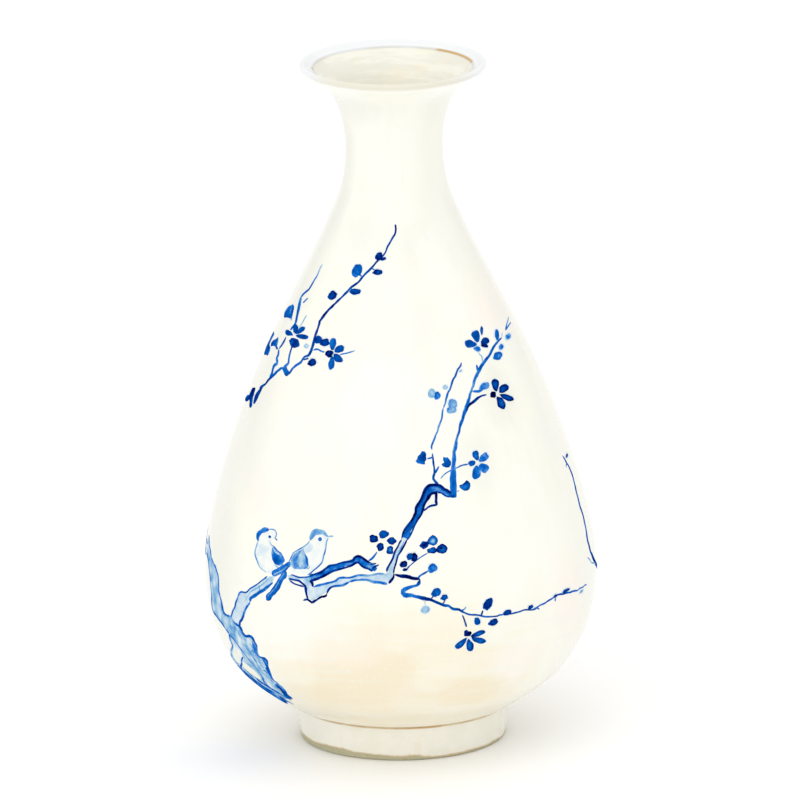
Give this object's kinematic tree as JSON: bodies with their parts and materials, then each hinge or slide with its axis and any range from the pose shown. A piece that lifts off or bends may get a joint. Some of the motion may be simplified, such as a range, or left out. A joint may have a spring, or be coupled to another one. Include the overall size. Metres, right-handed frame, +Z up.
{
  "type": "sake bottle",
  "caption": "Pear-shaped porcelain sake bottle with a narrow neck, a flared mouth and a turned foot ring, for holding and pouring sake.",
  "frame": {"origin": "centre of the foot ring's resting face, on the bottle's axis", "axes": "+Z up along the bottle's axis, towards the mouth; -Y is the painted front"},
  "size_m": [0.1234, 0.1234, 0.2174],
  "materials": {
    "porcelain_glaze": "clear glossy glaze over cream-white porcelain",
    "foot_porcelain": "glazed outside, bare and matt on the resting edge",
    "luting_slip": "iron-stained slip under clear glaze",
    "cobalt_blue": "underglaze cobalt brushwork under clear glossy glaze"
  },
  "bodies": {
    "root": {"foot_ring": "foot_porcelain", "foot_slip_joint": "luting_slip", "lower_body": "porcelain_glaze", "belly_slip_joint": "luting_slip", "upper_body": "porcelain_glaze", "shoulder_slip_joint": "luting_slip", "neck": "porcelain_glaze", "neck_slip_joint": "luting_slip", "mouth": "porcelain_glaze"}
  },
  "joints": []
}
